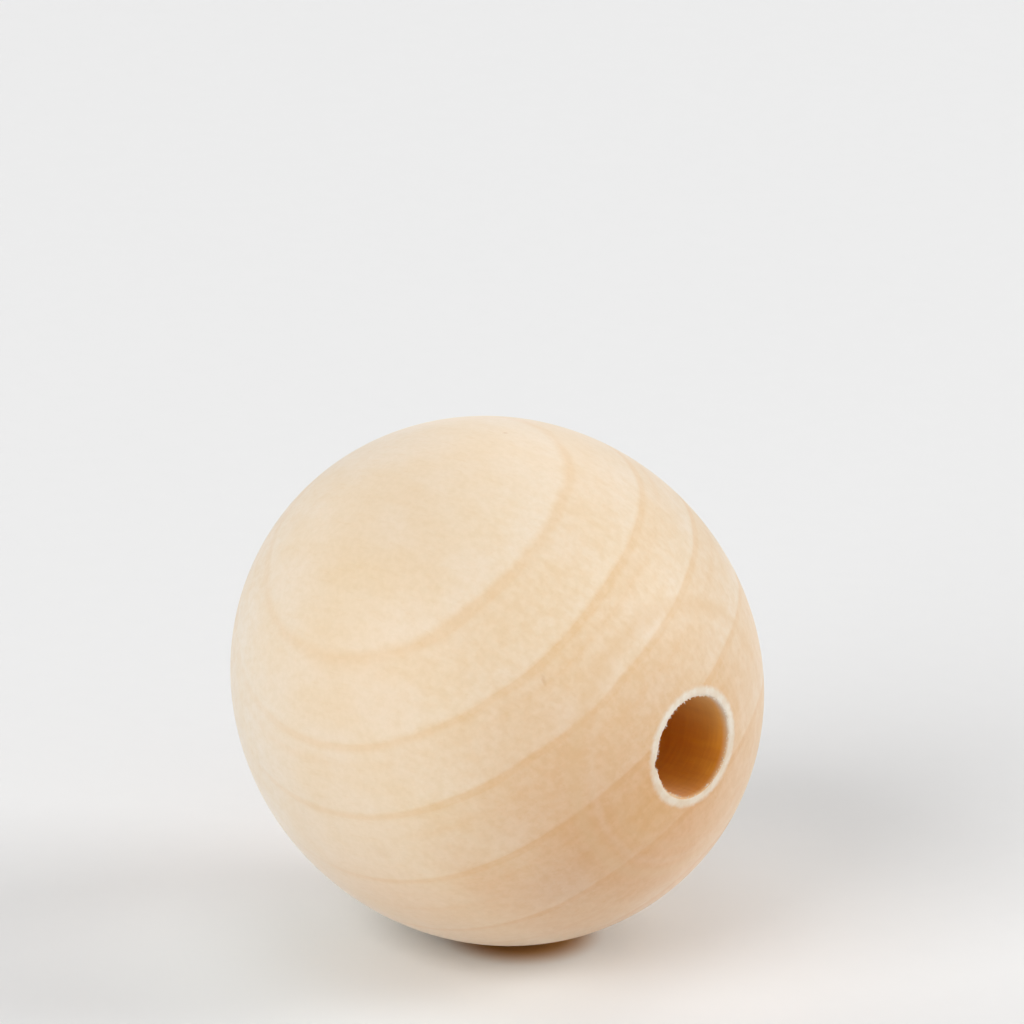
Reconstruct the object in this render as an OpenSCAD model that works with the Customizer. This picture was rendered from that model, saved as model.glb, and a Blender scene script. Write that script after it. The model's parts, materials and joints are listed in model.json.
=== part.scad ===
// Wooden ball, turned from one piece of pale hardwood and bored through along the grain.
// The bore lies along X, Z is up, and the origin is the middle of the ball.

/* [Ball] */
// Diameter along the grain and square to the growth rings, where wood hardly shrinks
ball_d = 20; // [16:0.1:40]
// Diameter along the growth rings, which drying has drawn in
dried_d = 18.9; // [14:0.1:40]
// Turn of the growth rings about the bore
grain_turn = 30; // [-90:1:90]

/* [Bore] */
// Diameter of the bore
bore_d = 3.8; // [1:0.1:8]
// Width of the flat land faced off round each mouth of the bore
land_w = 0.4; // [0.1:0.05:2]

/* [Hidden] */
$fn = 128;
land_d = bore_d + 2 * land_w;
// Distance between the two lands, which is also the length of the bore
bore_l = sqrt(ball_d ^ 2 - land_d ^ 2);
// How far the cutting tools run past the wood
overrun = 1;

// The ball as turned between centres on X, drawn in along the growth rings by drying
module dried_ball() {
    rotate([grain_turn, 0, 0])
        scale([1, dried_d / ball_d, 1])
            rotate([0, 90, 0])
                sphere(d = ball_d);
}

// A cylinder along the bore's axis, centred on the ball
module on_bore_axis(d, l) {
    rotate([0, 90, 0])
        cylinder(d = d, h = l, center = true);
}

// What facing leaves between the two lands
module faced_length() {
    on_bore_axis(d = max(ball_d, dried_d) + overrun, l = bore_l);
}

module ball() {
    color("burlywood")
        difference() {
            intersection() {
                dried_ball();
                faced_length();
            }
            on_bore_axis(d = bore_d, l = bore_l + overrun);
        }
}

ball();
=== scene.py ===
import json
import math
import random

import bmesh
import bpy
from bpy.props import FloatProperty, FloatVectorProperty, IntProperty, PointerProperty
from mathutils import Matrix, Quaternion, Vector, noise


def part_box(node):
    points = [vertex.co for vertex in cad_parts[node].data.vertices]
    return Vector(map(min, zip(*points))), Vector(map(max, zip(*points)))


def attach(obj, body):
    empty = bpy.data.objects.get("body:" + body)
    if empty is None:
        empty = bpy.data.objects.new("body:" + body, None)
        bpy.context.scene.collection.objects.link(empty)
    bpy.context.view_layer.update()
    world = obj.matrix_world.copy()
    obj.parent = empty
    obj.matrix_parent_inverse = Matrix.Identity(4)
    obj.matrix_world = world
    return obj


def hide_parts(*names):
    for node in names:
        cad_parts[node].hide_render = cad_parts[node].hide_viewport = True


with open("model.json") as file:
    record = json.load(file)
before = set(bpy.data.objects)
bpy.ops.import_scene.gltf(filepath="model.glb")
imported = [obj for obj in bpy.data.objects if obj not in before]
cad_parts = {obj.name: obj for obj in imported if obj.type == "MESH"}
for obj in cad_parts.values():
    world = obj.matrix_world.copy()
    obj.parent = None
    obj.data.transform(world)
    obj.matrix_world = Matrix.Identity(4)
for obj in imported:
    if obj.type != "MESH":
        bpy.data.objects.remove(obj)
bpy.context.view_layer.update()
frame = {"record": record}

bl_info = {
    "name": "Bored Wooden Ball",
    "version": (1, 0, 0),
    "blender": (4, 5, 0),
    "location": "View3D > Sidebar > Wooden Ball",
    "description": "A turned wooden ball with a torn bore mouth, on a pale studio floor",
    "category": "Mesh",
}

MM = 0.001
NODE = "ball"
BODY = "root"

# Sizes that follow from the frame
BORE = next(m for m in frame["record"]["mounts"] if m["name"] == "bore")
BORE_R = BORE["dims"]["r_mm"] * MM
LAND_X = BORE["dims"]["length_mm"] * MM / 2
BOX_LOW, BOX_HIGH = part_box(NODE)

# Turn of the growth rings about the bore
GRAIN_TURN = math.radians(30)


def ball_radii(turn):
    """The ball's radius square to the growth rings and along them, from its box."""
    half_y = (BOX_HIGH.y - BOX_LOW.y) / 2
    half_z = (BOX_HIGH.z - BOX_LOW.z) / 2
    total = half_y ** 2 + half_z ** 2
    spread = (half_z ** 2 - half_y ** 2) / math.cos(2 * turn)
    return math.sqrt((total + spread) / 2), math.sqrt((total - spread) / 2)


ROUND_R, DRIED_R = ball_radii(GRAIN_TURN)

# Mesh steps: along the ball's outline, around the bore and along the bore's wall
OUTLINE_STEPS = 110
AROUND_STEPS = 360
WALL_CUTS = 30

# Lip of torn wood round a mouth, from inside the land's edge to the bore's wall:
# distance outside the wall and height above the land, in mm, and share of the tearing
LIP_ROWS = (
    (0.22, 0.004, 0.0),
    (0.17, 0.014, 0.1),
    (0.12, 0.018, 0.3),
    (0.07, 0.014, 0.6),
    (0.03, 0.000, 0.9),
    (0.01, -0.025, 1.0),
    (0.00, -0.060, 0.9),
    (0.00, -0.110, 0.6),
    (0.00, -0.180, 0.3),
    (0.00, -0.260, 0.1),
)
# Slack that tells the lips' rows from the rest of the mesh, in mm
LIP_SLACK = 0.01

# Waves in the torn edge, from coarse to fine: fineness, place in the noise and share
TEAR_WAVES = ((3.0, 5.0, 1.0), (14.0, 9.0, 0.6), (40.0, 13.0, 0.4))
# The waves' strength round a mouth: its mean, and how much stronger it grows towards -Y
TEAR_MEAN = 0.65
TEAR_LEAN = 0.35
# A tongue and a nick in the torn edge: angle and half width in degrees, reach into the bore in mm
TEAR_SPOTS = ((-120, 20, 0.08), (-176, 9, -0.14))
# Share of the tearing that moves the lip along the bore, and how fine that is for each mm
TEAR_RISE = 0.4
TEAR_RISE_FINENESS = 9.0

# Splinters, in mm: length, radius at root and tip, depth of the root in the lip and its height
SPLINTER_LENGTH = (0.04, 0.12)
SPLINTER_ROOT_R = (0.012, 0.030)
SPLINTER_TIP_R = 0.002
SPLINTER_DEPTH = 0.02
SPLINTER_HEIGHT = (-0.08, 0.01)
# Sides of a splinter, the share of its length from root to middle, and the seed of the draws
SPLINTER_SIDES = 5
SPLINTER_STAND = 0.4
SPLINTER_SEED = 7
# How a splinter leans: out of the mouth, into the bore and to either side
LEAN_OUT = (0.1, 0.9)
LEAN_IN = (0.2, 1.0)
LEAN_ASIDE = 0.4

# Distance of the tree's pith from the ball's middle, in mm, and its tilt
PITH_DEPTH = 24.9
PITH_TILT = (math.radians(2.2), math.radians(-4.2))
# Growth rings, the fainter lines between them and the span that holds them, in mm from the pith
RINGS = (18.8, 22.6, 26.1, 28.9, 31.1, 33.1)
FAINT_RINGS = (20.6, 24.4, 25.3, 28.0, 30.5)
RING_SPAN = (14.0, 36.0)

# Shapes that repeat at each ring, as mm from the ring and share of late wood:
# a year's wood, the line that ends it and a fainter line
YEAR_SHAPE = ((0.0, 0.62), (0.18, 0.0), (1.1, 0.36))
LINE_SHAPE = ((-0.22, 0.0), (-0.07, 1.0), (0.01, 1.0), (0.11, 0.0))
FAINT_SHAPE = ((-0.25, 0.0), (0.0, 1.0), (0.20, 0.0))
# A year's mean share of late wood
YEAR_MEAN = 0.34

# Sway of the grain, broad and fine: stretch of its noise and reach in mm
BROAD_SWAY = ((0.05, 0.16, 0.16), 0.5)
FINE_SWAY = ((0.5, 1.6, 1.6), 0.06)

# Noise in the wood: stretch along its place's axes, detail, and the levels that it fades in between
STREAKS = ((0.15, 1.6, 1.6), 3.0, 0.30, 0.70)
CLOUDS = ((0.35, 0.5, 0.5), 2.0, 0.35, 0.65)
MOTTLE = ((4.5, 4.8, 4.8), 3.0, 0.30, 0.70)
BLOTCHES = ((2.0, 2.6, 2.6), 2.0, 0.35, 0.65)
RAYS = ((1.6, 5.5, 0.7), 1.0, 0.45, 0.70)
PORES = ((1.2, 9.0, 9.0), 1.0, 0.60, 0.74)
TUFTS = ((1.0, 2.2, 2.2), 3.0, 0.35, 0.65)
DRILL_MARKS = ((6.0, 0.8, 0.8), 3.0, 0.30, 0.70)
WALL_FIBRES = ((0.5, 4.0, 4.0), 2.0, 0.30, 0.70)
LOOSE_FIBRES = ((2.0, 9.0, 9.0), 2.0, 0.30, 0.70)

# Tints that go with them, multiplied onto the wood
STREAK_TINT = (0.985, 0.965, 0.930)
CLOUD_TINT = (0.990, 0.965, 0.910)
MOTTLE_TINT = (0.965, 0.960, 0.930)
BLOTCH_TINT = (0.970, 0.930, 0.860)
RAY_TINT = (0.988, 0.978, 0.955)
PORE_TINT = (0.990, 0.980, 0.960)
DRILL_MARK_TINT = (0.930, 0.880, 0.800)
WALL_FIBRE_TINT = (0.940, 0.880, 0.800)

# Tints and tones of a mouth: round it, on its lip, on the bore's wall low down and high up
# (the high one is painted light where the wall is lit), and in its duller torn fibre
HALO_TINT = (0.985, 0.950, 0.880)
LIP_TINT = (1.000, 0.870, 0.680)
LOW_WALL_TINT = (0.870, 0.800, 0.600)
PAINTED_LIT_WALL = (0.880, 0.620, 0.200)
DULL_TUFT = (0.775, 0.625, 0.460)
DULL_FIBRE = (0.800, 0.660, 0.500)

# Reach of the darker ring and of the torn fibre outside the bore's wall, from faint to full,
# and the width that their edges wander over, in mm
HALO_REACH = (1.1, 0.55)
TORN_REACH = (0.46, 0.23)
FRAY_WIDTH = 0.16
# How far inside a mouth the lip's tint and the browned wall fade in, how much deeper that is
# for each mm of height, and how far outside the bore's radius still counts as its wall, in mm
LIP_FADE = (-0.05, 0.15)
DRILLED_FADE = (-0.04, 0.36)
FADE_SLANT = 0.07
WALL_SLACK = 0.05

# Roughness of the sanded wood, and what torn fibre and pores add to it
SANDED_ROUGH = 0.55
TORN_ROUGH = 0.25
PORE_ROUGH = 0.15
# Relief of the rays and the pores, with its strength and its depth in mm
RAY_RELIEF = -0.3
PORE_RELIEF = -1.0
RELIEF_STRENGTH = 0.12
RELIEF_DEPTH = 0.01

# Marks in the wood: middle and half lengths along X, Y and Z, in mm, and how strong each one is
MARKS = (
    ((7.5, -5.5, 3.5), (0.35, 0.10, 0.25), 0.5),
    ((2.2, -8.4, -3.7), (0.70, 0.50, 0.50), 0.12),
    ((0.6, -0.2, 9.8), (0.12, 0.14, 0.14), 0.6),
    ((-6.0, 5.5, 5.2), (0.60, 0.12, 0.30), 0.4),
    ((-3.5, -2.0, -8.9), (0.30, 0.20, 0.20), 0.45),
)

# Tones that the wood drifts to here and there; the pale one also paints a sheen on one side
PALE_WOOD_AND_SHEEN = (0.870, 0.780, 0.665)
CREAM_WOOD = (0.850, 0.740, 0.590)
GOLDEN_WOOD = (0.820, 0.640, 0.420)
BROWN_WOOD = (0.740, 0.500, 0.270)
RUDDY_WOOD = (0.720, 0.460, 0.310)
AMBER_WOOD = (0.780, 0.470, 0.150)

# Broad patches of these tones: middle and reach in mm, tone and share
PATCHES = (
    ((3.6, -3.8, 8.5), 4.5, PALE_WOOD_AND_SHEEN, 0.26),
    ((0.2, -7.9, 5.8), 3.2, GOLDEN_WOOD, 0.45),
    ((2.1, -9.6, -0.1), 3.5, PALE_WOOD_AND_SHEEN, 0.16),
    ((5.6, -7.6, -2.7), 2.5, BROWN_WOOD, 0.20),
    ((7.3, -4.4, -4.8), 2.2, RUDDY_WOOD, 0.32),
    ((9.3, -2.0, -2.1), 2.4, AMBER_WOOD, 0.28),
)

# Rings left by the lathe: distance along the bore from the ball's middle and half width in mm,
# tone and share
LATHE_MARKS = (
    (9.20, 0.16, BROWN_WOOD, 0.20),
    (8.87, 0.14, CREAM_WOOD, 0.10),
    (8.55, 0.28, BROWN_WOOD, 0.40),
)

# The floor's paper: its tooth, and two round spots with their middle and their reach from
# faint to full, in mm: painted light that lifts the paper in the ball's shadow, and a painted
# warm contact shadow with the light thrown down by the wood
TOOTH_SCALE = 900.0
TOOTH_TINT = (0.995, 0.995, 0.995)
PAINTED_LIGHT_SPOT = ((0.5, -4.5), 15, 5)
PAINTED_LIGHT_TONE = (0.845, 0.870, 0.880)
PAINTED_CONTACT_SPOT = ((1.0, 0.3), 3.2, 1.5)
PAINTED_CONTACT_SHADE = (0.68, 0.36, 0.12)


class BallSizes(bpy.types.PropertyGroup):
    """Sizes of the ball and of its torn mouths"""

    round_r: FloatProperty(
        name="Radius", description="Radius along the grain and square to the growth rings",
        default=ROUND_R, min=5 * MM, max=50 * MM, unit="LENGTH", precision=5)
    dried_r: FloatProperty(
        name="Dried radius", description="Radius along the growth rings, drawn in by drying",
        default=DRIED_R, min=5 * MM, max=50 * MM, unit="LENGTH", precision=5)
    grain_turn: FloatProperty(
        name="Grain turn", description="Turn of the growth rings about the bore",
        default=GRAIN_TURN, subtype="ANGLE")
    bore_r: FloatProperty(
        name="Bore radius", description="Radius of the bore's wall",
        default=BORE_R, min=0.5 * MM, max=5 * MM, unit="LENGTH", precision=5)
    ragged: FloatProperty(
        name="Tearing", description="How far the torn edge wanders",
        default=0.04 * MM, min=0, max=0.5 * MM, unit="LENGTH", precision=6)
    splinters: IntProperty(
        name="Splinters", description="Loose fibres round each mouth",
        default=150, min=0, max=1000)


class WoodLooks(bpy.types.PropertyGroup):
    """Colours of the wood"""

    early: FloatVectorProperty(
        name="Early wood", description="Pale wood that each year starts with",
        default=(0.857, 0.718, 0.563), subtype="COLOR", min=0, max=1)
    late: FloatVectorProperty(
        name="Late wood", description="Darker line that each year ends with",
        default=(0.817, 0.614, 0.404), subtype="COLOR", min=0, max=1)
    end_grain: FloatVectorProperty(
        name="End grain", description="Tint of the wood where its grain ends at the surface",
        default=(0.91, 0.675, 0.475), subtype="COLOR", min=0, max=1)
    mark: FloatVectorProperty(
        name="Marks", description="Tint of the small brown marks in the wood",
        default=(0.80, 0.66, 0.50), subtype="COLOR", min=0, max=1)
    torn: FloatVectorProperty(
        name="Torn fibre", description="Bare torn fibre round the mouths",
        default=(0.860, 0.775, 0.655), subtype="COLOR", min=0, max=1)
    drilled: FloatVectorProperty(
        name="Drilled wall", description="Wall of the bore, browned by the drill",
        default=(0.84, 0.36, 0.015), subtype="COLOR", min=0, max=1)


class StageLooks(bpy.types.PropertyGroup):
    """Camera, floor and light"""

    azimuth: FloatProperty(
        name="Azimuth", description="Way round from which the camera looks",
        default=math.radians(43.5), subtype="ANGLE")
    elevation: FloatProperty(
        name="Elevation", description="How far above the floor the camera looks from",
        default=math.radians(20.75), subtype="ANGLE")
    distance: FloatProperty(
        name="Distance", description="From the ball's middle to the camera",
        default=0.32, min=0.1, max=2.0, unit="LENGTH")
    floor: FloatVectorProperty(
        name="Floor", description="Pale paper that the ball lies on",
        default=(0.815, 0.815, 0.815), subtype="COLOR", min=0, max=1)


class Finish:
    """A material's nodes, with short calls for the ones that the finishes share."""

    def __init__(self, name):
        self.material = bpy.data.materials.new(name)
        self.material.use_nodes = True
        self.tree = self.material.node_tree
        self.surface = self.tree.nodes["Principled BSDF"]

    def put(self, socket, value):
        """Links a socket to a node's output, or sets its plain value."""
        if isinstance(value, bpy.types.NodeSocket):
            self.tree.links.new(value, socket)
        elif socket.type == "RGBA" and len(value) == 3:
            socket.default_value = (*value, 1.0)
        else:
            socket.default_value = value

    def node(self, kind, inputs=(), **settings):
        """A new node with its settings and its inputs, by name or number."""
        made = self.tree.nodes.new(kind)
        for name, value in settings.items():
            setattr(made, name, value)
        for name, value in dict(inputs).items():
            self.put(made.inputs[name], value)
        return made

    def math(self, operation, *values, clamp=False):
        """A sum, product or other reckoning of numbers."""
        made = self.node("ShaderNodeMath", operation=operation, use_clamp=clamp)
        for socket, value in zip(made.inputs, values):
            self.put(socket, value)
        return made.outputs[0]

    def product(self, first, *others):
        """Shares multiplied together."""
        for other in others:
            first = self.math("MULTIPLY", first, other)
        return first

    def vector(self, operation, *values):
        """A reckoning of vectors, or a vector's length."""
        made = self.node("ShaderNodeVectorMath", operation=operation)
        for socket, value in zip(made.inputs, values):
            self.put(socket, value)
        return made.outputs["Value" if operation == "LENGTH" else "Vector"]

    def mix(self, share, colour, tone, blend="MIX"):
        """A colour moved by a share towards a tone."""
        made = self.node("ShaderNodeMix", data_type="RGBA", blend_type=blend)
        self.put(made.inputs[0], share)
        self.put(made.inputs[6], colour)
        self.put(made.inputs[7], tone)
        return made.outputs[2]

    def tint(self, share, colour, tone):
        """A colour multiplied by a share of a tint."""
        return self.mix(share, colour, tone, "MULTIPLY")

    def step(self, value, low, high, to_low=0.0, to_high=1.0):
        """A smooth step from one level to another, between two values."""
        made = self.node("ShaderNodeMapRange", interpolation_type="SMOOTHSTEP")
        for socket, v in zip(made.inputs, (value, low, high, to_low, to_high)):
            self.put(socket, v)
        return made.outputs[0]

    def noise(self, place, stretch=(1, 1, 1), scale=1.0, detail=2.0, rough=0.5):
        """Noise from 0 to 1 about 0.5, stretched along the place's own axes."""
        spread = self.vector("MULTIPLY", place, stretch)
        made = self.node("ShaderNodeTexNoise", {
            "Vector": spread, "Scale": scale, "Detail": detail, "Roughness": rough})
        return made.outputs["Fac"]

    def figure(self, place, stretch, detail, low, high, share=1.0, rough=0.5):
        """Noise that fades in between two of its levels, up to a share."""
        shade = self.noise(place, stretch, detail=detail, rough=rough)
        return self.step(shade, low, high, 0.0, share)

    def ramp(self, value, stops):
        """A grey ramp through (position, level) stops."""
        made = self.node("ShaderNodeValToRGB", {"Fac": value})
        elements = made.color_ramp.elements
        while len(elements) < len(stops):
            elements.new(1.0)
        for element, (position, level) in zip(elements, stops):
            element.position = position
            element.color = (level, level, level, 1.0)
        return made.outputs["Color"]

    def split(self, place):
        """A place's X, Y and Z."""
        return self.node("ShaderNodeSeparateXYZ", {"Vector": place}).outputs

    def join(self, x, y, z):
        """A place from its X, Y and Z."""
        return self.node("ShaderNodeCombineXYZ", {"X": x, "Y": y, "Z": z}).outputs[0]

    def place(self):
        """Places on the piece, in metres."""
        return self.node("ShaderNodeTexCoord").outputs["Object"]

    def place_mm(self):
        """Places on the piece, in mm."""
        return self.vector("MULTIPLY", self.place(), (1 / MM,) * 3)


class Grain:
    """Places in a piece of wood: in the ball's frame and round its pith, in mm."""

    def __init__(self, finish, sizes):
        self.place = finish.place_mm()
        x, y, z = finish.split(self.place)
        self.x = x
        self.along = finish.math("ABSOLUTE", x)
        self.across = y
        self.height = z
        self.off_axis = finish.vector("LENGTH", finish.join(0.0, y, z))
        turned = finish.node("ShaderNodeMapping", {
            "Vector": self.place, "Location": (0, 0, PITH_DEPTH),
            "Rotation": (-sizes.grain_turn, *PITH_TILT)}).outputs[0]
        swayed = self.sway(finish, turned, *BROAD_SWAY)
        self.grain = self.sway(finish, swayed, *FINE_SWAY)
        run, side, out = finish.split(self.grain)
        self.depth = finish.vector("LENGTH", finish.join(0.0, side, out))
        angle = finish.math("ARCTAN2", side, out)
        arc = finish.math("MULTIPLY", angle, PITH_DEPTH)
        self.rays = finish.join(run, arc, self.depth)

    def sway(self, finish, place, stretch, reach):
        """The same places, moved a little across the grain as the tree grew."""
        wave = finish.node("ShaderNodeTexNoise", {
            "Vector": finish.vector("MULTIPLY", place, stretch), "Scale": 1.0, "Detail": 2.0})
        moved = finish.vector("SUBTRACT", wave.outputs["Color"], (0.5, 0.5, 0.5))
        return finish.vector("ADD", place, finish.vector("MULTIPLY", moved, (0, reach, reach)))


def ring_stops(rings, shape):
    """Ramp stops that repeat a shape of (distance from the ring, level) at each ring."""
    low, high = RING_SPAN
    stops = [(low, shape[-1][1])]
    for ring in rings:
        stops += [(ring + away, level) for away, level in shape]
    return [((r - low) / (high - low), level) for r, level in stops]


def year_rings(finish, grain, looks, ends):
    """Pale early wood that darkens through each year, and the thin line that ends it."""
    low, high = RING_SPAN
    depth = finish.math("DIVIDE", finish.math("SUBTRACT", grain.depth, low), high - low)
    year = finish.ramp(depth, ring_stops(RINGS, YEAR_SHAPE))
    swing = finish.math("MULTIPLY_ADD", ends, 1.0, 0.15)
    year = finish.math("SUBTRACT", year, YEAR_MEAN)
    year = finish.math("MULTIPLY_ADD", year, swing, YEAR_MEAN)
    line = finish.ramp(depth, ring_stops(RINGS, LINE_SHAPE))
    patchy = finish.noise(grain.rays, (0.12, 0.3, 0.5))
    line = finish.product(line, finish.step(patchy, 0.3, 0.7, 0.4, 0.95))
    faint = finish.ramp(depth, ring_stops(FAINT_RINGS, FAINT_SHAPE))
    faint = finish.product(faint, finish.step(patchy, 0.4, 0.65, 0.1, 0.4))
    lines = finish.math("ADD", line, faint)
    return finish.mix(finish.math("ADD", year, lines, clamp=True), looks.early, looks.late)


def end_grain(finish, grain, colour, looks):
    """Warmer tone where the grain ends at the surface, low on the ball and underneath."""
    ended = finish.product(
        finish.step(grain.along, 4.5, 9.4),
        finish.step(grain.height, 7.0, -4.5),
        finish.step(grain.across, 5.0, -1.5, 0.5, 1.0))
    # The same tint, warmer and darker, also lies low on the ball and underneath, wherever the grain
    # runs
    low = finish.product(
        finish.step(grain.height, -1.5, -5.0, 0.0, 0.6),
        finish.step(grain.along, 3.0, 6.0))
    under = finish.step(grain.height, -3.0, -6.5, 0.0, 0.36)
    share = finish.math("MAXIMUM", ended, finish.math("MAXIMUM", low, under))
    return finish.tint(share, colour, looks.end_grain)


def painted_sheen_side(finish, grain, colour):
    """Painted sheen: a paler tone away from the near mouth, which fades out again before the far
    one.
    """
    share = finish.product(
        finish.step(grain.x, 2.5, -6.5, 0.0, 0.8),
        finish.step(grain.x, -9.4, -6.8),
        finish.step(grain.across, 6.0, -4.0),
        finish.step(grain.height, 8.0, 1.0, 0.4, 1.0))
    # Painted sheen: the side mixed towards the pale tone, as the bright reflection at its edge
    return finish.mix(share, colour, PALE_WOOD_AND_SHEEN)


def broad_patches(finish, grain, colour):
    """Patches where the wood is paler, more golden or browner."""
    for middle, reach, tone, strength in PATCHES:
        away = finish.vector("LENGTH", finish.vector("SUBTRACT", grain.place, middle))
        colour = finish.mix(finish.step(away, reach, 0.0, 0.0, strength), colour, tone)
    return colour


def fine_figure(finish, grain, colour, ends):
    """Streaks along the grain, cloudy patches and mottle, and blotches, mostly on the end grain."""
    colour = finish.tint(finish.figure(grain.grain, *STREAKS, share=0.5), colour, STREAK_TINT)
    colour = finish.tint(finish.figure(grain.place, *CLOUDS), colour, CLOUD_TINT)
    colour = finish.tint(finish.figure(grain.grain, *MOTTLE, rough=0.65), colour, MOTTLE_TINT)
    blotch = finish.figure(grain.grain, *BLOTCHES)
    blotch = finish.product(blotch, finish.math("MULTIPLY_ADD", ends, 0.9, 0.1))
    return finish.tint(blotch, colour, BLOTCH_TINT)


def rays_and_pores(finish, grain, colour):
    """Short rays that run out from the pith, and hair-fine pores along the grain."""
    ray = finish.figure(grain.rays, *RAYS)
    colour = finish.tint(ray, colour, RAY_TINT)
    pore = finish.figure(grain.grain, *PORES)
    colour = finish.tint(pore, colour, PORE_TINT)
    return colour, ray, pore


def turning_marks(finish, grain, colour):
    """Rings left by the lathe round each end of the bore."""
    for along, half, tone, strength in LATHE_MARKS:
        away = finish.math("ABSOLUTE", finish.math("SUBTRACT", grain.along, along))
        colour = finish.mix(finish.step(away, half, 0.0, 0.0, strength), colour, tone)
    return colour


def brown_marks(finish, grain, colour, looks):
    """The few small marks that the tree left."""
    fuzz = finish.noise(grain.place, (3.0, 5.0, 5.0))
    for middle, size, strength in MARKS:
        away = finish.vector("DIVIDE", finish.vector("SUBTRACT", grain.place, middle), size)
        reach = finish.math("ADD", finish.vector("LENGTH", away), fuzz)
        colour = finish.tint(finish.step(reach, 1.6, 0.6, 0.0, strength), colour, looks.mark)
    return colour


def wood_colour(finish, grain, looks):
    """Colour of the sanded wood, with its rays and pores for the relief."""
    ends = finish.step(grain.along, 0.5, 9.0)
    colour = year_rings(finish, grain, looks, ends)
    colour = end_grain(finish, grain, colour, looks)
    colour = painted_sheen_side(finish, grain, colour)
    colour = broad_patches(finish, grain, colour)
    colour = fine_figure(finish, grain, colour, ends)
    colour, ray, pore = rays_and_pores(finish, grain, colour)
    colour = turning_marks(finish, grain, colour)
    colour = brown_marks(finish, grain, colour, looks)
    return colour, ray, pore


def torn_mouth(finish, grain, colour, looks, bore_mm):
    """A darker ring round a mouth and torn fibre on its land, with the share that is torn."""
    fray = finish.noise(grain.place, (1.0, 6.0, 6.0), detail=3.0)
    fray = finish.math("MULTIPLY_ADD", fray, FRAY_WIDTH, -FRAY_WIDTH / 2)
    edge = finish.math("ADD", grain.off_axis, fray)
    halo = finish.step(edge, *(bore_mm + out for out in HALO_REACH))
    colour = finish.tint(halo, colour, HALO_TINT)
    torn = finish.step(edge, *(bore_mm + out for out in TORN_REACH))
    tuft = finish.figure(grain.place, *TUFTS, share=0.65)
    tuft = finish.math("ADD", tuft, finish.step(grain.height, 1.5, -2.0, 0.0, 0.48))
    return finish.mix(torn, colour, finish.mix(tuft, looks.torn, DULL_TUFT)), torn


def bore_wall(finish, grain, colour, looks, bore_mm):
    """The bore's wall from its lip inwards, browned by the drill, darker low down by the mouth, and
    with painted light that makes it paler high up.
    """
    inside = finish.math("SUBTRACT", LAND_X / MM, grain.along)
    inside = finish.math("MULTIPLY_ADD", grain.height, -FADE_SLANT, inside)
    near_wall = finish.math("LESS_THAN", grain.off_axis, bore_mm + WALL_SLACK)
    lip = finish.product(near_wall, finish.step(inside, *LIP_FADE))
    colour = finish.tint(lip, colour, LIP_TINT)
    drilled = finish.product(near_wall, finish.step(inside, *DRILLED_FADE))
    wall = finish.tint(finish.figure(grain.place, *DRILL_MARKS), looks.drilled, DRILL_MARK_TINT)
    wall = finish.tint(finish.figure(grain.place, *WALL_FIBRES), wall, WALL_FIBRE_TINT)
    # Painted light: the wall paler high up, where it is lit
    wall = finish.mix(finish.step(grain.height, -0.8, 1.6, 0.0, 0.6), wall, PAINTED_LIT_WALL)
    # Darker low down on the wall, near the mouth
    low_wall = finish.step(grain.height, -0.2, -1.2)
    low_wall = finish.product(low_wall, finish.step(inside, 1.5, 0.6))
    wall = finish.tint(low_wall, wall, LOW_WALL_TINT)
    return finish.mix(drilled, colour, wall)


def turned_wood(sizes, looks):
    """Sanded wood outside, torn pale fibre on the lips and browned wall in the bore."""
    finish = Finish("turned_wood")
    grain = Grain(finish, sizes)
    bore_mm = sizes.bore_r / MM
    colour, ray, pore = wood_colour(finish, grain, looks)
    colour, torn = torn_mouth(finish, grain, colour, looks, bore_mm)
    colour = bore_wall(finish, grain, colour, looks, bore_mm)

    surface = finish.surface
    finish.put(surface.inputs["Base Color"], colour)
    surface.inputs["Specular IOR Level"].default_value = 0.45
    surface.inputs["Sheen Weight"].default_value = 0.35
    surface.inputs["Sheen Roughness"].default_value = 0.5
    rough = finish.math("MULTIPLY_ADD", torn, TORN_ROUGH, SANDED_ROUGH)
    rough = finish.math("MULTIPLY_ADD", pore, PORE_ROUGH, rough)
    finish.put(surface.inputs["Roughness"], rough)
    relief = finish.math("MULTIPLY", pore, PORE_RELIEF)
    relief = finish.math("MULTIPLY_ADD", ray, RAY_RELIEF, relief)
    bump = finish.node("ShaderNodeBump", {
        "Height": relief, "Strength": RELIEF_STRENGTH, "Distance": RELIEF_DEPTH * MM})
    finish.put(surface.inputs["Normal"], bump.outputs[0])
    return finish.material


def torn_fibre(looks):
    """Pale loose fibre, a little duller in places."""
    finish = Finish("torn_fibre")
    dull = finish.figure(finish.place_mm(), *LOOSE_FIBRES)
    colour = finish.mix(dull, looks.torn, DULL_FIBRE)
    finish.put(finish.surface.inputs["Base Color"], finish.mix(0.6, colour, looks.torn))
    finish.surface.inputs["Roughness"].default_value = 0.8
    return finish.material


def floor_spot(finish, place, middle, faint, full):
    """Share of a round spot on the floor."""
    x, y = middle
    away = finish.split(finish.vector("SUBTRACT", place, (x * MM, y * MM, 0.0)))
    away = finish.vector("LENGTH", finish.join(away[0], away[1], 0.0))
    return finish.step(away, faint * MM, full * MM)


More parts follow.
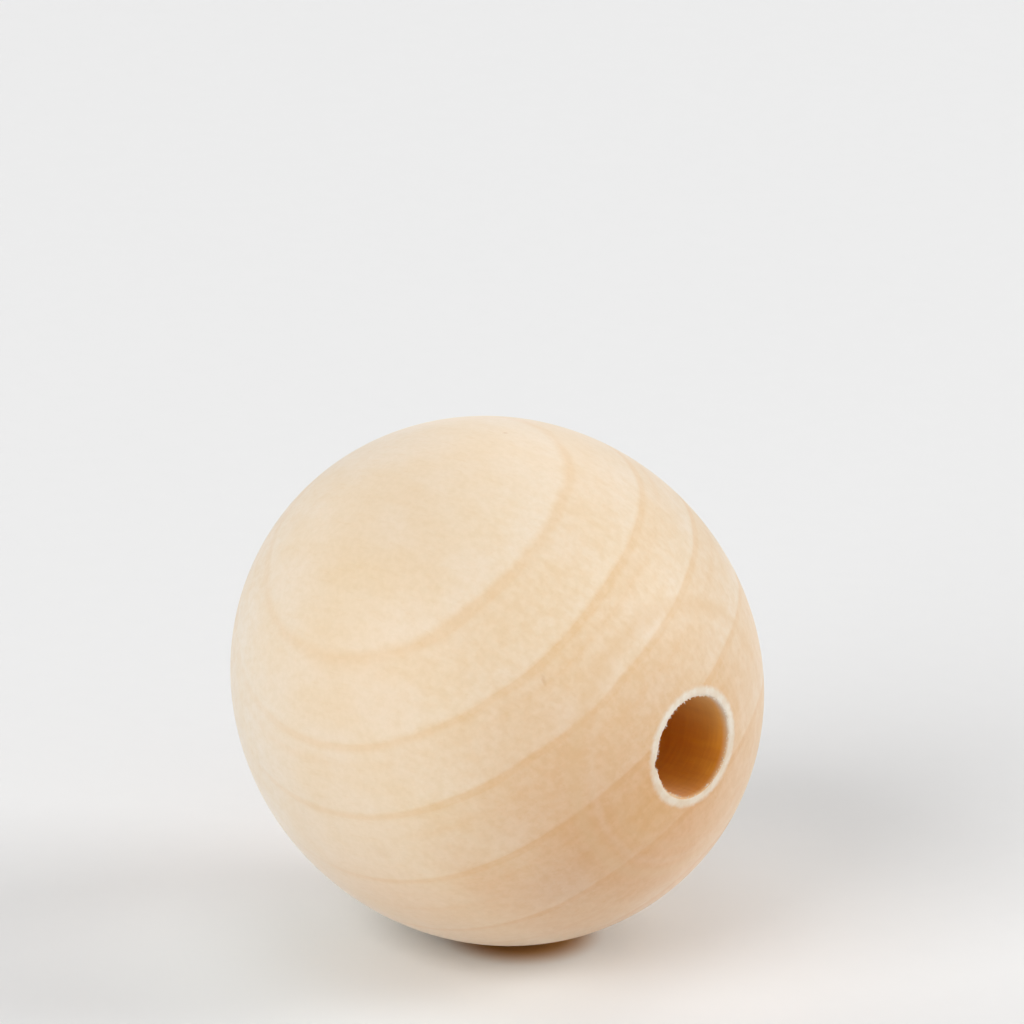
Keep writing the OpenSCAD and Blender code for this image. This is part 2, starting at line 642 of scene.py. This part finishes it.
def floor_paper(looks):
    """Pale paper with a fine tooth, with painted light in the ball's shadow and a painted warm
    shadow where the ball touches it.
    """
    finish = Finish("floor_paper")
    place = finish.place()
    tooth = finish.noise(place, scale=TOOTH_SCALE, detail=3.0)
    colour = finish.tint(finish.step(tooth, 0.3, 0.7), looks.floor, TOOTH_TINT)
    # Painted light: the paper lifted to a paler tone where the ball's shadow falls
    colour = finish.mix(floor_spot(finish, place, *PAINTED_LIGHT_SPOT), colour, PAINTED_LIGHT_TONE)
    # Painted shade: a warm, dark shadow round the contact, with the wood's thrown light
    colour = finish.tint(floor_spot(finish, place, *PAINTED_CONTACT_SPOT), colour, PAINTED_CONTACT_SHADE)
    finish.put(finish.surface.inputs["Base Color"], colour)
    finish.surface.inputs["Roughness"].default_value = 0.7
    finish.surface.inputs["Specular IOR Level"].default_value = 0.2
    return finish.material


def piece(name, bm, material):
    """A new object from a bmesh, smooth shaded, in the frame's own place."""
    mesh = bpy.data.meshes.new(name)
    bm.to_mesh(mesh)
    bm.free()
    mesh.polygons.foreach_set("use_smooth", [True] * len(mesh.polygons))
    mesh.materials.append(material)
    made = bpy.data.objects.new(name, mesh)
    bpy.context.scene.collection.objects.link(made)
    return made


def hump(angle, middle, half_width):
    """A smooth hump round a mouth, from 0 to 1, about an angle."""
    away = abs((angle - middle + math.pi) % (2 * math.pi) - math.pi)
    return max(0.0, 1.0 - (away / half_width) ** 2) ** 2


def tearing(angle, side, sizes):
    """How far the torn edge reaches into the bore, round one mouth."""
    around = Vector((math.cos(angle), math.sin(angle), 0))
    reach = 0.0
    for fineness, start, share in TEAR_WAVES:
        reach += share * noise.noise(around * fineness + Vector((0, 0, side * start)))
    reach *= sizes.ragged * (TEAR_MEAN - TEAR_LEAN * math.cos(angle))
    for middle, half_width, inwards in TEAR_SPOTS:
        reach += inwards * MM * hump(angle, math.radians(middle), math.radians(half_width))
    return reach


def lip_radius(sizes):
    """A radius just outside the lips' rows."""
    return sizes.bore_r + (LIP_ROWS[0][0] + LIP_SLACK) * MM


def turned_outline(bm, sizes):
    """Half the ball's outline in the XZ plane, from one end of the bore round to the other."""
    edge = math.acos(LAND_X / sizes.round_r)
    ends = []
    start = bm.verts.new((LAND_X, 0, sizes.round_r * math.sin(edge)))
    arc = bmesh.ops.spin(
        bm, geom=[start], cent=(0, 0, 0), axis=(0, -1, 0),
        angle=math.pi - 2 * edge, steps=OUTLINE_STEPS)
    last = next(v for v in arc["geom_last"] if isinstance(v, bmesh.types.BMVert))
    for side, rim in ((1, start), (-1, last)):
        for out, height, _ in LIP_ROWS:
            place = (side * (LAND_X + height * MM), 0, sizes.bore_r + out * MM)
            row = bm.verts.new(place)
            bm.edges.new((rim, row))
            rim = row
        ends.append(rim)
    wall = bm.edges.new(ends)
    bmesh.ops.subdivide_edges(bm, edges=[wall], cuts=WALL_CUTS)


def dry_oval(bm, sizes):
    """Draws the ball in along its growth rings, and leaves the bore round."""
    lip_r = lip_radius(sizes)
    outside = [v for v in bm.verts if Vector((v.co.y, v.co.z)).length > lip_r]
    bmesh.ops.scale(
        bm, vec=(1, sizes.dried_r / sizes.round_r, 1),
        space=Matrix.Rotation(-sizes.grain_turn, 4, "X"), verts=outside)


def order_faces(bm):
    """Puts the faces in the order of their corners, so that each run gives the same list."""
    bm.verts.index_update()
    count = len(bm.verts)

    def rank(face):
        corners = [v.index for v in face.verts]
        return min(corners) * count + max(corners)

    bm.faces.sort(key=rank)


def tear_lips(bm, sizes):
    """Moves the lips' rows in and out of the bore as the drill tore them."""
    lip_r = lip_radius(sizes)
    lowest = LAND_X + (LIP_ROWS[-1][1] - LIP_SLACK) * MM
    for v in bm.verts:
        off = Vector((0, v.co.y, v.co.z))
        if abs(v.co.x) < lowest or off.length > lip_r:
            continue
        side = 1 if v.co.x > 0 else -1
        height = (abs(v.co.x) - LAND_X) / MM
        out = (off.length - sizes.bore_r) / MM
        share = min(LIP_ROWS, key=lambda row: abs(row[0] - out) + abs(row[1] - height))[2]
        angle = math.atan2(v.co.z, v.co.y)
        v.co -= off.normalized() * share * tearing(angle, side, sizes)
        wave = noise.noise(v.co * TEAR_RISE_FINENESS / MM)
        v.co.x += side * share * TEAR_RISE * sizes.ragged * wave


class MESH_OT_wooden_ball(bpy.types.Operator):
    """Turn the ball, with its bore and torn lips, and give it its wood"""

    bl_idname = "mesh.wooden_ball"
    bl_label = "Turned Ball"
    bl_options = {"REGISTER", "UNDO"}

    def execute(self, context):
        sizes = context.scene.ball_sizes
        bm = bmesh.new()
        turned_outline(bm, sizes)
        bmesh.ops.spin(
            bm, geom=[*bm.verts, *bm.edges], cent=(0, 0, 0), axis=(1, 0, 0),
            angle=2 * math.pi, steps=AROUND_STEPS, use_merge=True)
        bmesh.ops.remove_doubles(bm, verts=bm.verts, dist=0.001 * MM)
        dry_oval(bm, sizes)
        tear_lips(bm, sizes)
        bmesh.ops.recalc_face_normals(bm, faces=bm.faces)
        order_faces(bm)
        ball = piece("turned_ball", bm, turned_wood(sizes, context.scene.wood_looks))
        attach(ball, BODY)
        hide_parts(NODE)
        return {"FINISHED"}


class MESH_OT_mouth_splinters(bpy.types.Operator):
    """Add the loose fibres that stand round both mouths of the bore"""

    bl_idname = "mesh.mouth_splinters"
    bl_label = "Mouth Splinters"
    bl_options = {"REGISTER", "UNDO"}

    def execute(self, context):
        sizes = context.scene.ball_sizes
        material = torn_fibre(context.scene.wood_looks)
        for side, name in ((1, "near_splinters"), (-1, "far_splinters")):
            draw = random.Random(SPLINTER_SEED + side)
            bm = bmesh.new()
            for _ in range(sizes.splinters):
                self.splinter(bm, sizes, side, draw)
            made = piece(name, bm, material)
            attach(made, BODY)
        return {"FINISHED"}

    def splinter(self, bm, sizes, side, draw):
        """One thin tapered fibre, rooted in the lip and leaning into the bore."""
        angle = draw.uniform(-math.pi, math.pi)
        outward = Vector((0, math.cos(angle), math.sin(angle)))
        around = Vector((0, -math.sin(angle), math.cos(angle)))
        root = outward * (sizes.bore_r - tearing(angle, side, sizes) + SPLINTER_DEPTH * MM)
        root.x = side * (LAND_X + draw.uniform(*SPLINTER_HEIGHT) * MM)
        lean = Vector((side * draw.uniform(*LEAN_OUT), 0, 0))
        lean += -outward * draw.uniform(*LEAN_IN) + around * draw.gauss(0, LEAN_ASIDE)
        length = draw.uniform(*SPLINTER_LENGTH) * MM
        turn = lean.to_track_quat("Z", "Y").to_matrix().to_4x4()
        place = Matrix.Translation(root + lean.normalized() * length * SPLINTER_STAND) @ turn
        bmesh.ops.create_cone(
            bm, cap_ends=True, segments=SPLINTER_SIDES,
            radius1=draw.uniform(*SPLINTER_ROOT_R) * MM, radius2=SPLINTER_TIP_R * MM,
            depth=length, matrix=place)


class SCENE_OT_pale_stage(bpy.types.Operator):
    """Lay the pale floor, and set the lights and the camera"""

    bl_idname = "scene.pale_stage"
    bl_label = "Pale Stage"
    bl_options = {"REGISTER", "UNDO"}

    # Softboxes: azimuth and elevation in degrees, side in metres and watts
    LIGHTS = {
        "left_softbox": (-2, 33, 1.5, 30.5),
        "front_softbox": (74, 42, 2.0, 9.0),
        "right_softbox": (139, 25, 1.0, 23.0),
        "back_right_softbox": (202, 37, 1.5, 11.0),
        "back_left_softbox": (262, 28, 1.5, 9.0),
        "top_softbox": (43, 85, 1.0, 5.0),
    }
    # Distance of the softboxes and half the floor's side, in metres
    LIGHT_DISTANCE = 2.0
    FLOOR_HALF = 3.0
    # Brightness of the white room that the wood reflects
    WORLD_STRENGTH = 0.25
    # The image's side, where the ball's middle falls in it and the length of a mm there, in pixels
    IMAGE_SIDE = 1024
    BALL_PIXEL = (497, 681)
    PIXELS_PER_MM = 27.2

    def execute(self, context):
        looks = context.scene.stage_looks
        self.floor(looks)
        for name, settings in self.LIGHTS.items():
            self.softbox(name, *settings)
        self.room(context)
        context.scene.view_settings.view_transform = "Standard"
        self.camera(context, looks)
        return {"FINISHED"}

    def direction(self, azimuth, elevation):
        """The way out from the ball's middle, azimuth 0 being -Y."""
        flat = math.cos(elevation)
        return Vector((math.sin(azimuth) * flat, -math.cos(azimuth) * flat, math.sin(elevation)))

    def floor(self, looks):
        """A wide flat floor under the ball."""
        bm = bmesh.new()
        bmesh.ops.create_grid(
            bm, x_segments=4, y_segments=4, size=self.FLOOR_HALF,
            matrix=Matrix.Translation((0, 0, BOX_LOW.z)))
        piece("floor", bm, floor_paper(looks))

    def softbox(self, name, azimuth, elevation, side, watts):
        """A square light that faces the ball."""
        light = bpy.data.lights.new(name, "AREA")
        light.shape = "SQUARE"
        light.size = side
        light.energy = watts
        made = bpy.data.objects.new(name, light)
        way = self.direction(math.radians(azimuth), math.radians(elevation))
        made.location = way * self.LIGHT_DISTANCE
        made.rotation_euler = (-way).to_track_quat("-Z", "Y").to_euler()
        bpy.context.scene.collection.objects.link(made)

    def room(self, context):
        """A white room that is seen and reflected, and casts no diffuse light."""
        world = bpy.data.worlds.new("studio")
        world.use_nodes = True
        background = world.node_tree.nodes["Background"]
        background.inputs["Color"].default_value = (1, 1, 1, 1)
        background.inputs["Strength"].default_value = self.WORLD_STRENGTH
        context.scene.world = world
        world.cycles_visibility.diffuse = False

    def camera(self, context, looks):
        """A camera turned so that the ball's middle falls on its pixel."""
        lens = bpy.data.cameras.new("camera")
        focal_px = self.PIXELS_PER_MM * looks.distance / MM
        lens.lens = lens.sensor_width * focal_px / self.IMAGE_SIDE
        lens.clip_start = 0.01
        lens.clip_end = 20.0
        made = bpy.data.objects.new("camera", lens)
        back = self.direction(looks.azimuth, looks.elevation)
        made.location = back * looks.distance
        middle = self.IMAGE_SIDE / 2
        pan = Quaternion((0, 1, 0), math.atan((self.BALL_PIXEL[0] - middle) / focal_px))
        tilt = Quaternion((1, 0, 0), math.atan((self.BALL_PIXEL[1] - middle) / focal_px))
        made.rotation_mode = "QUATERNION"
        made.rotation_quaternion = (-back).to_track_quat("-Z", "Y") @ tilt @ pan
        bpy.context.scene.collection.objects.link(made)
        context.scene.camera = made


class VIEW3D_PT_wooden_ball(bpy.types.Panel):
    """Sizes, colours and builders of the wooden ball"""

    bl_idname = "VIEW3D_PT_wooden_ball"
    bl_label = "Wooden Ball"
    bl_space_type = "VIEW_3D"
    bl_region_type = "UI"
    bl_category = "Wooden Ball"

    def draw(self, context):
        for group in GROUPS:
            box = self.layout.box()
            settings = getattr(context.scene, group)
            for name in settings.__annotations__:
                box.prop(settings, name)
        for operator in OPERATORS:
            self.layout.operator(operator.bl_idname)


GROUPS = {"ball_sizes": BallSizes, "wood_looks": WoodLooks, "stage_looks": StageLooks}
OPERATORS = (MESH_OT_wooden_ball, MESH_OT_mouth_splinters, SCENE_OT_pale_stage)
CLASSES = (*GROUPS.values(), *OPERATORS, VIEW3D_PT_wooden_ball)


def register():
    for cls in CLASSES:
        bpy.utils.register_class(cls)
    for name, group in GROUPS.items():
        setattr(bpy.types.Scene, name, PointerProperty(type=group))


def unregister():
    for name in GROUPS:
        delattr(bpy.types.Scene, name)
    for cls in reversed(CLASSES):
        bpy.utils.unregister_class(cls)


def main():
    register()
    bpy.ops.mesh.wooden_ball()
    bpy.ops.mesh.mouth_splinters()
    bpy.ops.scene.pale_stage()


if __name__ == "__main__":
    main()
